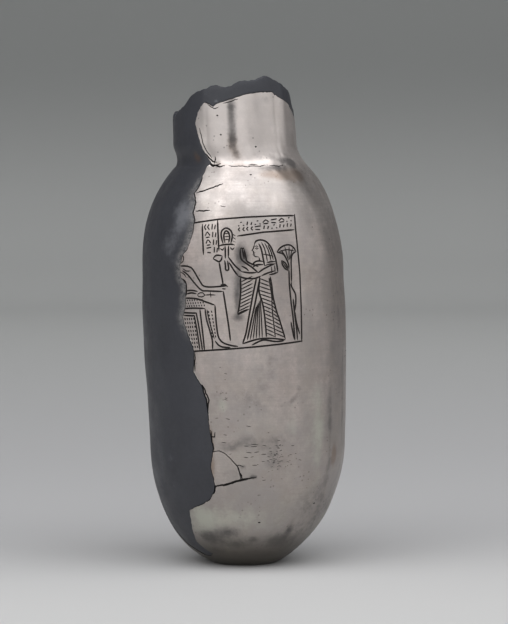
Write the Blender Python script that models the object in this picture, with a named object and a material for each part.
"""Ancient Egyptian round-bottomed silver bottle, mended with a dark modern fill.

Metres, +Z up. The centre of the flat foot is the origin, -Y is the front with the engraved panel.
Three pieces: the silver wall, one loose sherd low on the front, and the fill that closes the losses.
"""

import math

import bmesh
import bpy
from mathutils import Vector

MM = 0.001

# Profile, from the foot up
FOOT_RADIUS = 11.5 * MM
BASE_RADIUS = 34.2 * MM
BASE_DEPTH = 44.4 * MM
BELLY_RADIUS = 36.0 * MM
BELLY_RISE = 46.6 * MM
SHOULDER_RADIUS = 35.6 * MM
SHOULDER_RISE = 14.0 * MM
SHOULDER_DEPTH = 47.0 * MM
SHOULDER_FULLNESS = 2.2
NECK_RADIUS = 22.1 * MM
NECK_TOP_RADIUS = 21.2 * MM
NECK_HEIGHT = 31.5 * MM
ROOT_FLARE = 1.3 * MM
ROOT_FLARE_HEIGHT = 4.5 * MM
DENT_DEPTH = 0.12 * MM

# Walls, gaps and laps
SILVER_THICKNESS = 0.9 * MM
FILL_RECESS = 0.15 * MM
FILL_THICKNESS = 1.85 * MM
JOINT_GAP = 0.3 * MM
LAP_CLEARANCE = 0.3 * MM
LAP_WIDTH = 3.0 * MM
BACKING_WIDTH = 2.5 * MM

# Engraved lines
GROOVE_DEPTH = 0.3 * MM
GROOVE_WIDTH = 0.7 * MM
PANEL_WIDTH = 46.4 * MM
PANEL_UNITS = (48.0, 45.0)
PANEL_ANGLE = -4.4
PANEL_LEVEL = 0.713
PANEL_TURN = 4.0

# Mesh: columns round the wall, rows of the base, belly, rise and shoulder, and shares of the neck's height
COLUMNS = 48
OUTER_ROW_COUNTS = (8, 2, 1, 7)
INNER_ROW_COUNTS = (4, 1, 1, 3)
OUTER_NECK_SHARES = (0.0, 0.07, 0.15, 0.35, 1.0)
INNER_NECK_SHARES = (0.0, 0.15, 0.35, 1.0)
ROUGH_COLUMNS = 24
TONGUE_STRIPS = 10
COLLAR_STRIPS = 3
SHERD_STRIPS = 2
LAP_KNOT_COUNT = 3
CUT_REACH = 1.0 * MM
SLOPE_STEP = 0.05 * MM
WELD_DISTANCE = 0.005 * MM
FLAT_ANGLE = math.radians(0.2)
SMOOTH_ANGLE = math.radians(20)

# Colour, metallic value and roughness
SILVER_FINISH = ((0.42, 0.37, 0.34), 0.9, 0.38)
SHERD_FINISH = ((0.44, 0.39, 0.36), 0.9, 0.38)
FILL_FINISH = ((0.035, 0.04, 0.048), 0.0, 0.42)

# Levels run from 0 at the foot to 1 at the neck's root and 2 at the nominal rim.
# Sideways bow of the hand-raised vessel: level, shift
AXIS_BOW = (
    (0.0, 0.0), (0.035, -0.3 * MM), (0.14, 0.5 * MM), (0.30, 1.0 * MM), (0.54, 0.1 * MM),
    (0.74, -0.6 * MM), (0.87, -1.2 * MM), (0.97, -0.9 * MM), (1.26, -3.5 * MM),
    (1.65, -4.0 * MM), (2.1, -4.2 * MM),
)

# Broken rim: angle in degrees from the front, positive to the viewer's right, and level
RIM_EDGE = (
    (-180, 1.66), (-168, 1.72), (-156, 1.68), (-144, 1.75), (-132, 1.66), (-120, 1.60),
    (-108, 1.63), (-96, 1.56), (-84, 1.49), (-66, 1.61), (-54, 1.67), (-45, 1.78),
    (-36, 1.83), (-24, 1.865), (-18, 1.90), (-6, 1.865), (0, 1.89), (6, 1.94), (18, 1.94),
    (24, 1.97), (33, 2.03), (42, 1.98), (48, 1.94), (60, 1.88), (69, 1.84), (75, 1.70),
    (84, 1.62), (96, 1.66), (108, 1.60), (120, 1.68), (132, 1.64), (144, 1.72), (156, 1.67),
    (168, 1.74), (180, 1.66),
)

# Edge of the silver on the viewer's left, from the base to the neck: level, angle
FRONT_SEAM = (
    (0.027, -41), (0.034, -35), (0.044, -40), (0.064, -46), (0.150, -40.5), (0.167, -30),
    (0.182, -23), (0.200, -20), (0.220, -19), (0.265, -21.3), (0.311, -19.7), (0.357, -21.7),
    (0.431, -22.6), (0.466, -25), (0.498, -29.8), (0.547, -28.9), (0.613, -34.8),
    (0.633, -36), (0.655, -34), (0.713, -33.1), (0.728, -36.5), (0.757, -37.3),
    (0.781, -35.5), (0.801, -32), (0.840, -29), (0.870, -28.6), (0.887, -30.8),
    (0.911, -30.2), (0.935, -33.5), (0.950, -31.4), (1.004, -31), (1.047, -27),
    (1.110, -29.6), (1.230, -31.5), (1.362, -35.6), (1.473, -38), (1.593, -34.6),
    (1.700, -27), (1.82, -24),
)

# Hidden edge of the silver behind the left side: level, angle
BACK_SEAM = (
    (0.027, -50), (0.05, -68), (0.09, -80), (0.14, -88), (0.20, -97), (0.27, -106),
    (0.36, -121), (0.44, -128), (0.54, -138), (0.64, -147), (0.74, -141), (0.84, -149),
    (0.93, -143), (1.01, -146), (1.1, -148), (1.82, -150),
)

# Lower edge of the fill around the neck: angle, level
COLLAR_EDGE = (
    (-180, 1.05), (-165, 1.02), (-150, 1.06), (-135, 1.04), (-105, 1.05), (-75, 1.06),
    (-60, 1.10), (-52, 1.55), (-44, 1.70), (-27, 1.70), (-18, 1.655), (-14, 1.69),
    (-8, 1.71), (0, 1.74), (13, 1.79), (26, 1.81), (39, 1.815), (48, 1.76), (62, 1.70),
    (71, 1.62), (82, 1.54), (92, 1.50), (100, 1.40), (106, 1.28), (110, 1.15), (117, 1.06),
    (130, 1.03), (145, 1.07), (160, 1.03), (170, 1.06), (180, 1.05),
)

# Loose sherd between the seam and three cracks: angle, level
SHERD_TOP = (
    (-27, 0.306), (-20.3, 0.303), (-16, 0.306), (-12.6, 0.300), (-9.4, 0.287),
    (-5.4, 0.268), (-4.3, 0.253), (-3.5, 0.240),
)
SHERD_BOTTOM = (
    (-27, 0.212), (-19, 0.218), (-16, 0.221), (-13, 0.223), (-10, 0.227),
    (-7.5, 0.231), (-5, 0.234), (-3.5, 0.236),
)

# Cracks that stop in the silver: angle, level
CRACKS = (
    ((-3.1, 0.236), (1.4, 0.238), (5.7, 0.242)),
    ((-24.4, 0.468), (-20.9, 0.431), (-22.0, 0.405)),
    ((-21.0, 0.357), (-20.4, 0.340), (-18.6, 0.340), (-18.3, 0.352)),
    ((-28.4, 0.547), (-28.6, 0.500)),
    ((-31.5, 0.935), (-23.3, 0.945), (-13.1, 0.958)),
    ((-29.0, 0.891), (-19.1, 0.894)),
)

# Engraved scene in panel units, from the panel's lower left corner: generic figures, run out at the seam
BORDER = (
    ((2, 44.5), (20, 45.8), (30, 45.9), (40, 45.6), (48.5, 45.0), (48.5, 24), (46.9, 0.6), (28, 0.4),
     (3, -0.1)),
    ((14.2, 44.6), (13.6, 33.7)),
    ((20.0, 45.6), (19.5, 34.7)),
    ((26.6, 39.6), (37, 40.2), (47.8, 40.1)),
)
PLANT = (
    ((40.3, 32.9), (41.6, 34.2), (44.6, 35.0), (47.0, 33.8), (47.8, 32.5), (45.5, 29.8), (44.7, 20.5),
     (46.1, 17.2), (46.3, 4.4)),
    ((40.3, 32.9), (43.2, 31.0), (44.3, 26.4), (44.0, 20.6), (44.2, 1.8)),
    ((41.7, 29.4), (43.5, 26.2)),
)
STANDING_FIGURE = (
    ((32.3, 36.0), (34.8, 37.6), (36.8, 36.8), (38.8, 33.0), (39.9, 25.9), (34.6, 25.2)),
    ((32.3, 36.0), (31.3, 34.0), (32.0, 32.1), (33.5, 31.8), (33.6, 30.0), (30.8, 29.3)),
    ((33.8, 36.3), (34.9, 32.0), (35.3, 28.3)),
    ((27.2, 34.9), (27.3, 31.2), (32.6, 26.4)),
    ((28.7, 34.6), (28.9, 31.0), (33.2, 28.2), (37.2, 28.3)),
    ((22.7, 32.6), (24.6, 29.4), (26.9, 26.8)),
    ((22.7, 30.5), (25.4, 25.6), (32.0, 24.4)),
    ((31.9, 24.3), (30.1, 18.2), (27.7, 10.0), (24.8, 1.8)),
    ((36.8, 24.6), (37.5, 18.0), (38.5, 10.0), (40.2, 2.4)),
    ((24.8, 1.8), (32.7, 3.0), (40.2, 2.4)),
    ((33.2, 23.4), (32.6, 19.5), (33.5, 12.0), (33.4, 3.6)),
    ((26.3, 24.4), (26.0, 19.0), (24.1, 12.2), (27.4, 13.6)),
)
SISTRUM = (
    ((21.3, 36.9), (20.9, 41.0), (22.8, 42.6), (24.9, 41.0), (23.8, 36.9)),
    ((19.9, 36.3), (24.5, 36.4)),
    ((22.3, 35.8), (21.7, 28.0)),
)
STAFF = (
    ((17.1, 31.8), (18.4, 33.2), (20.4, 32.5)),
    ((19.0, 31.6), (19.8, 24.0), (20.0, 20.0), (20.6, 3.2)),
)
SEATED_FIGURE = (
    ((3.4, 30.6), (8.0, 29.6), (12.7, 22.8), (21.0, 22.4)),
    ((3.4, 27.2), (7.0, 26.6), (11.9, 21.3), (19.4, 20.6)),
    ((2.6, 19.1), (9.2, 18.5), (16.2, 15.8), (16.1, 6.0), (18.1, 2.4), (23.0, 0.9)),
)
THRONE = (
    ((2.0, 15.3), (12.4, 14.9), (12.8, 10.0), (14.0, 3.6), (13.8, 0.0)),
    ((2.0, 13.8), (8.9, 13.4), (9.9, -0.1)),
    ((10.4, 14.7), (10.7, -0.1)),
)
ENGRAVING = BORDER + PLANT + STANDING_FIGURE + SISTRUM + STAFF + SEATED_FIGURE + THRONE

# Heights that follow from the sizes
BASE_TOP = BASE_DEPTH * math.sqrt(1.0 - (FOOT_RADIUS / BASE_RADIUS) ** 2)
BELLY_HEIGHT = BASE_TOP + BELLY_RISE
SHOULDER_HEIGHT = BELLY_HEIGHT + SHOULDER_RISE
ROOT_RADIUS = NECK_RADIUS + ROOT_FLARE
ROOT_SHARE = 1.0 - (ROOT_RADIUS / SHOULDER_RADIUS) ** SHOULDER_FULLNESS
ROOT_HEIGHT = SHOULDER_HEIGHT + SHOULDER_DEPTH * ROOT_SHARE ** (1.0 / SHOULDER_FULLNESS)
RIM_TOP_LEVEL = max(level for angle, level in RIM_EDGE)

# Reach of the cutters past the wall's outer and inner faces
CUT_OUT = 2.0 * CUT_REACH
CUT_IN = -max(SILVER_THICKNESS, FILL_RECESS + FILL_THICKNESS) - 2.0 * CUT_REACH
FILL_INNER = -FILL_RECESS - FILL_THICKNESS
LAP_OUTER = -SILVER_THICKNESS - LAP_CLEARANCE


def clear_scene():
    """Remove every object, mesh and material left in the file."""
    for item in list(bpy.data.objects):
        bpy.data.objects.remove(item, do_unlink=True)
    for item in list(bpy.data.meshes):
        bpy.data.meshes.remove(item)
    for item in list(bpy.data.materials):
        bpy.data.materials.remove(item)


def ease(share):
    """Return a smooth 0 to 1 step of a share."""
    share = min(1.0, max(0.0, share))
    return share * share * (3.0 - 2.0 * share)


def between(knots, value, blend=lambda share: share):
    """Read a value between the knots of a (place, value) list, held flat past its ends."""
    if value <= knots[0][0]:
        return knots[0][1]
    for (start, first), (end, last) in zip(knots, knots[1:]):
        if value <= end:
            return first + (last - first) * blend((value - start) / (end - start))
    return knots[-1][1]


def height_at(level):
    """Turn a level into a height."""
    if level < 1.0:
        return level * ROOT_HEIGHT
    return ROOT_HEIGHT + (level - 1.0) * NECK_HEIGHT


def level_at(height):
    """Turn a height into a level."""
    if height < ROOT_HEIGHT:
        return height / ROOT_HEIGHT
    return 1.0 + (height - ROOT_HEIGHT) / NECK_HEIGHT


def wall_radius(height):
    """Radius of the upright wall, before the base and the shoulder round it off."""
    if height < BELLY_HEIGHT:
        rise = ease((height - BASE_TOP / 2) / (BELLY_HEIGHT - BASE_TOP / 2))
        return BASE_RADIUS + (BELLY_RADIUS - BASE_RADIUS) * rise
    fall = ease((height - BELLY_HEIGHT) / (SHOULDER_HEIGHT - BELLY_HEIGHT))
    return BELLY_RADIUS + (SHOULDER_RADIUS - BELLY_RADIUS) * fall


def outer_radius(height):
    """Outer radius of the vessel at a height."""
    if height < BASE_TOP:
        drop = min(1.0, (BASE_TOP - height) / BASE_DEPTH)
        return wall_radius(height) * math.sqrt(1.0 - drop * drop)
    if height < SHOULDER_HEIGHT:
        return wall_radius(height)
    if height < ROOT_HEIGHT:
        rise = ((height - SHOULDER_HEIGHT) / SHOULDER_DEPTH) ** SHOULDER_FULLNESS
        return SHOULDER_RADIUS * (1.0 - rise) ** (1.0 / SHOULDER_FULLNESS)
    rise = (height - ROOT_HEIGHT) / NECK_HEIGHT
    flare = max(0.0, 1.0 - (height - ROOT_HEIGHT) / ROOT_FLARE_HEIGHT)
    return NECK_RADIUS + (NECK_TOP_RADIUS - NECK_RADIUS) * rise + ROOT_FLARE * flare * flare


def dent(turn, height):
    """Slight unevenness of the hammered wall, nothing at the foot: an oval and a slow three-sided twist."""
    oval = math.sin(2.0 * turn)
    twist = math.sin(3.0 * turn + 2.0 * math.pi * height / ROOT_HEIGHT) / 2
    return DENT_DEPTH * (oval + twist) * ease(height / BASE_TOP)


def surface_point(angle, height, offset=0.0):
    """Point of the wall at an angle in degrees, moved along the wall's normal by an offset."""
    turn = math.radians(angle)
    rise = outer_radius(height + SLOPE_STEP) - outer_radius(height - SLOPE_STEP)
    slope = rise / (2.0 * SLOPE_STEP)
    length = math.hypot(1.0, slope)
    radius = outer_radius(height) + dent(turn, height) + offset / length
    shift = between(AXIS_BOW, level_at(height), ease)
    side = shift + radius * math.sin(turn)
    return Vector((side, -radius * math.cos(turn), height - offset * slope / length))


def surface_frame(angle, height):
    """Point and outward normal of the wall."""
    point = surface_point(angle, height)
    return point, (surface_point(angle, height, MM) - point).normalized()


def rim_height(angle):
    """Height of the broken rim at an angle."""
    turned = (angle + 180.0) % 360.0 - 180.0
    return height_at(between(RIM_EDGE, turned))


def row_heights(row_counts):
    """Heights of the rings from the foot to the neck's root."""
    base_rows, belly_rows, rise_rows, shoulder_rows = row_counts
    start = math.acos(BASE_TOP / BASE_DEPTH)
    heights = []
    for row in range(base_rows):
        turn = start + (math.pi / 2 - start) * row / base_rows
        heights.append(BASE_TOP - BASE_DEPTH * math.cos(turn))
    for row in range(belly_rows):
        heights.append(BASE_TOP + BELLY_RISE * row / belly_rows)
    for row in range(rise_rows):
        heights.append(BELLY_HEIGHT + SHOULDER_RISE * row / rise_rows)
    rise = ROOT_HEIGHT - SHOULDER_HEIGHT
    for row in range(shoulder_rows):
        heights.append(SHOULDER_HEIGHT + rise * math.sin(math.pi / 2 * row / shoulder_rows))
    return heights


def new_object(name, mesh_data):
    """Turn a closed bmesh into a named object of triangles."""
    bmesh.ops.recalc_face_normals(mesh_data, faces=mesh_data.faces)
    bmesh.ops.triangulate(mesh_data, faces=mesh_data.faces)
    mesh = bpy.data.meshes.new(name)
    mesh_data.to_mesh(mesh)
    mesh_data.free()
    item = bpy.data.objects.new(name, mesh)
    bpy.context.scene.collection.objects.link(item)
    return item


def add_skin(mesh_data, row_counts, neck_shares, columns, offset, rim_rise):
    """Add one skin of the vessel, closed below, and return its top ring."""
    places = []
    for height in row_heights(row_counts):
        places.append([(360.0 * column / columns, height) for column in range(columns)])
    for share in neck_shares:
        places.append([])
        for column in range(columns):
            angle = 360.0 * column / columns
            height = ROOT_HEIGHT + (rim_height(angle) + rim_rise - ROOT_HEIGHT) * share
            places[-1].append((angle, height))
    rings = []
    for row in places:
        rings.append([mesh_data.verts.new(surface_point(angle, height, offset)) for angle, height in row])
    centre = mesh_data.verts.new((0.0, 0.0, rings[0][0].co.z))
    for column in range(columns):
        after = (column + 1) % columns
        mesh_data.faces.new((centre, rings[0][column], rings[0][after]))
        for lower, upper in zip(rings, rings[1:]):
            mesh_data.faces.new((lower[column], lower[after], upper[after], upper[column]))
    return rings[-1]


def make_shell(name, outer_offset, inner_offset, columns=COLUMNS, rim_rise=0.0):
    """Make the whole vessel's wall between two offsets of its outer face."""
    mesh_data = bmesh.new()
    outer = add_skin(mesh_data, OUTER_ROW_COUNTS, OUTER_NECK_SHARES, columns, outer_offset, rim_rise)
    inner = add_skin(mesh_data, INNER_ROW_COUNTS, INNER_NECK_SHARES, columns, inner_offset, rim_rise)
    for column in range(columns):
        after = (column + 1) % columns
        mesh_data.faces.new((outer[column], outer[after], inner[after], inner[column]))
    return new_object(name, mesh_data)


def widen(line, distance):
    """Move a line of (angle, height) points sideways along the wall, to its left for a plus."""
    moved = []
    for index, (angle, height) in enumerate(line):
        before = line[max(0, index - 1)]
        after = line[min(len(line) - 1, index + 1)]
        arc = math.radians(1.0) * outer_radius(height)
        along = Vector(((after[0] - before[0]) * arc, after[1] - before[1])).normalized()
        moved.append((angle - along.y * distance / arc, height + along.x * distance))
    return moved


def make_prism(name, first_line, second_line, strips, closed=False):
    """Make a solid that runs through the wall between two lines of (angle, height) points."""
    mesh_data = bmesh.new()
    skins = []
    for offset in (CUT_OUT, CUT_IN):
        rows = []
        for first, second in zip(first_line, second_line):
            row = []
            for strip in range(strips + 1):
                share = strip / strips
                angle = first[0] + (second[0] - first[0]) * share
                height = first[1] + (second[1] - first[1]) * share
                row.append(mesh_data.verts.new(surface_point(angle, height, offset)))
            rows.append(row)
        if closed:
            rows.append(rows[0])
        skins.append(rows)
    for rows in skins:
        for lower, upper in zip(rows, rows[1:]):
            for strip in range(strips):
                corners = (lower[strip], lower[strip + 1], upper[strip + 1], upper[strip])
                mesh_data.faces.new(corners)
    outer, inner = skins
    for side in (0, strips):
        for index in range(len(outer) - 1):
            after = index + 1
            corners = (outer[index][side], outer[after][side], inner[after][side], inner[index][side])
            mesh_data.faces.new(corners)
    if not closed:
        for end in (0, -1):
            for strip in range(strips):
                outer_row, inner_row = outer[end], inner[end]
                corners = (outer_row[strip], outer_row[strip + 1], inner_row[strip + 1], inner_row[strip])
                mesh_data.faces.new(corners)
    return new_object(name, mesh_data)


def tongue_cutter(gap, lap=0.0):
    """Prism over the fill on the left side, grown over the silver by a gap or by a smoother lap."""
    front = []
    back = []
    for level, angle in FRONT_SEAM[::LAP_KNOT_COUNT] if lap else FRONT_SEAM:
        height = height_at(level)
        front.append((angle, height))
        back.append((between(BACK_SEAM, level), height))
    front = widen(front, -gap)
    back = widen(back, gap)
    wide_front = []
    wide_back = []
    for (front_angle, front_height), (back_angle, back_height) in zip(front, back):
        turn = math.degrees(lap / outer_radius(front_height))
        wide_front.append((front_angle + turn, front_height))
        wide_back.append((back_angle - turn, back_height))
    drop = gap + lap / 2
    turn = math.degrees(drop / outer_radius(wide_front[0][1]))
    wide_front[0] = (wide_front[0][0] + turn, max(SILVER_THICKNESS, wide_front[0][1] - drop))
    wide_back[0] = (wide_back[0][0] - turn, max(SILVER_THICKNESS, wide_back[0][1] - drop))
    top = height_at(RIM_TOP_LEVEL) + CUT_REACH
    wide_front.append((wide_front[-1][0], top))
    wide_back.append((wide_back[-1][0], top))
    return make_prism("tongue_cutter", wide_front, wide_back, TONGUE_STRIPS)


def collar_cutter(gap, lap=0.0):
    """Prism over the fill around the neck and along the rim."""
    lower = []
    upper = []
    top = height_at(RIM_TOP_LEVEL) + 2.0 * CUT_REACH
    for angle, level in COLLAR_EDGE[:-1]:
        lower.append((angle, height_at(level)))
        upper.append((angle, top))
    lower = widen(lower, -gap)
    lower = [(angle, height - lap) for angle, height in lower]
    return make_prism("collar_cutter", lower, upper, COLLAR_STRIPS, closed=True)


def sherd_cutter(growth):
    """Prism over the loose sherd, grown all round."""
    top = widen([(angle, height_at(level)) for angle, level in SHERD_TOP], growth)
    bottom = widen([(angle, height_at(level)) for angle, level in SHERD_BOTTOM], -growth)
    turn = math.degrees(growth / outer_radius(top[-1][1]))
    top[-1] = (SHERD_TOP[-1][0] + turn, top[-1][1])
    bottom[-1] = (SHERD_BOTTOM[-1][0] + turn, bottom[-1][1])
    return make_prism("sherd_cutter", top, bottom, SHERD_STRIPS)


def panel_point(across, up):
    """Angle and height of a place in the engraved panel."""
    unit = PANEL_WIDTH / PANEL_UNITS[0]
    side = (across - PANEL_UNITS[0] / 2) * unit
    rise = (up - PANEL_UNITS[1] / 2) * unit
    tilt = math.radians(PANEL_TURN)
    height = height_at(PANEL_LEVEL) + rise * math.cos(tilt) + side * math.sin(tilt)
    arc = side * math.cos(tilt) - rise * math.sin(tilt)
    return PANEL_ANGLE + math.degrees(arc / outer_radius(height)), height


def along_surface(line):
    """Split a line of (angle, height) points so that it follows the curved wall."""
    places = [line[0]]
    for (first_angle, first_height), (last_angle, last_height) in zip(line, line[1:]):
        pieces = max(1, math.ceil(abs(last_angle - first_angle) * COLUMNS / 360.0))
        for piece in range(1, pieces + 1):
            share = piece / pieces
            angle = first_angle + (last_angle - first_angle) * share
            height = first_height + (last_height - first_height) * share
            places.append((angle, height))
    return places


def add_groove(mesh_data, line):
    """Add the V-shaped cutter of one engraved line."""
    frames = [surface_frame(angle, height) for angle, height in along_surface(line)]
    sections = []
    half_width = GROOVE_WIDTH / 2 * (1.0 + CUT_REACH / GROOVE_DEPTH)
    for index, (point, normal) in enumerate(frames):
        before = frames[max(0, index - 1)][0]
        after = frames[min(len(frames) - 1, index + 1)][0]
        side = normal.cross(after - before).normalized()
        corners = (
            point + normal * CUT_REACH + side * half_width,
            point + normal * CUT_REACH - side * half_width,
            point - normal * GROOVE_DEPTH,
        )
        sections.append([mesh_data.verts.new(corner) for corner in corners])
    for lower, upper in zip(sections, sections[1:]):
        for corner in range(3):
            after = (corner + 1) % 3
            mesh_data.faces.new((lower[corner], lower[after], upper[after], upper[corner]))
    mesh_data.faces.new(sections[0])
    mesh_data.faces.new(tuple(reversed(sections[-1])))


def groove_cutter(name, lines):
    """Make one cutter of many lines."""
    mesh_data = bmesh.new()
    for line in lines:
        add_groove(mesh_data, line)
    return new_object(name, mesh_data)


def cut(item, cutters, operation="DIFFERENCE"):
    """Cut a solid with cutters by one exact Boolean, join its flat slivers and remove the cutters."""
    group = bpy.data.collections.new("cutters")
    for cutter in cutters:
        group.objects.link(cutter)
    bpy.context.view_layer.objects.active = item
    step = item.modifiers.new("cut", "BOOLEAN")
    step.operand_type = "COLLECTION"
    step.collection = group
    step.operation = operation
    step.solver = "EXACT"
    step.use_self = True
    weld = item.modifiers.new("weld", "WELD")
    weld.merge_threshold = WELD_DISTANCE
    flatten = item.modifiers.new("flatten", "DECIMATE")
    flatten.decimate_type = "DISSOLVE"
    flatten.angle_limit = FLAT_ANGLE
    triangles = item.modifiers.new("triangles", "TRIANGULATE")
    for modifier in (step, weld, flatten, triangles):
        bpy.ops.object.modifier_apply(modifier=modifier.name)
    for cutter in cutters:
        bpy.data.objects.remove(cutter, do_unlink=True)
    bpy.data.collections.remove(group)


def finish(item, colour, metallic, roughness):
    """Shade a piece smooth between its edges and give it its own material."""
    material = bpy.data.materials.new(item.name)
    material.use_nodes = True
    shader = material.node_tree.nodes["Principled BSDF"]
    shader.inputs["Base Color"].default_value = (*colour, 1.0)
    shader.inputs["Metallic"].default_value = metallic
    shader.inputs["Roughness"].default_value = roughness
    item.data.materials.clear()
    item.data.materials.append(material)
    item.data.shade_smooth()
    item.data.set_sharp_from_angle(angle=SMOOTH_ANGLE)


def make_silver_body():
    """Silver wall with its neck fragment, engraved panel and cracks."""
    body = make_shell("silver_body", 0.0, -SILVER_THICKNESS)
    gap = JOINT_GAP / 2
    lines = [[panel_point(across, up) for across, up in line] for line in ENGRAVING]
    lines += [[(angle, height_at(level)) for angle, level in line] for line in CRACKS]
    grooves = groove_cutter("groove_cutter", lines)
    cut(body, [tongue_cutter(gap), collar_cutter(gap), sherd_cutter(gap), grooves])
    finish(body, *SILVER_FINISH)


def make_silver_sherd():
    """Loose fragment of the silver wall between the fill and the cracks."""
    sherd = make_shell("silver_sherd", 0.0, -SILVER_THICKNESS)
    room = sherd_cutter(-JOINT_GAP / 2)
    cut(room, [tongue_cutter(JOINT_GAP / 2)])
    cut(sherd, [room], "INTERSECT")
    finish(sherd, *SHERD_FINISH)


def make_grey_fill():
    """Modern fill, flush with the losses and lapping behind the silver's edges."""
    fill = make_shell("grey_fill", -FILL_RECESS, FILL_INNER)
    silver_room = make_shell("silver_room", CUT_REACH, LAP_OUTER, rim_rise=CUT_REACH)
    cut(silver_room, [tongue_cutter(-JOINT_GAP / 2), collar_cutter(-JOINT_GAP / 2)])
    beyond_lap = make_shell("beyond_lap", CUT_REACH, FILL_INNER - CUT_REACH, ROUGH_COLUMNS, CUT_REACH)
    lap_zones = [tongue_cutter(0.0, LAP_WIDTH), collar_cutter(0.0, LAP_WIDTH), sherd_cutter(BACKING_WIDTH)]
    cut(beyond_lap, lap_zones)
    cut(fill, [silver_room, beyond_lap])
    finish(fill, *FILL_FINISH)


clear_scene()
make_silver_body()
make_silver_sherd()
make_grey_fill()
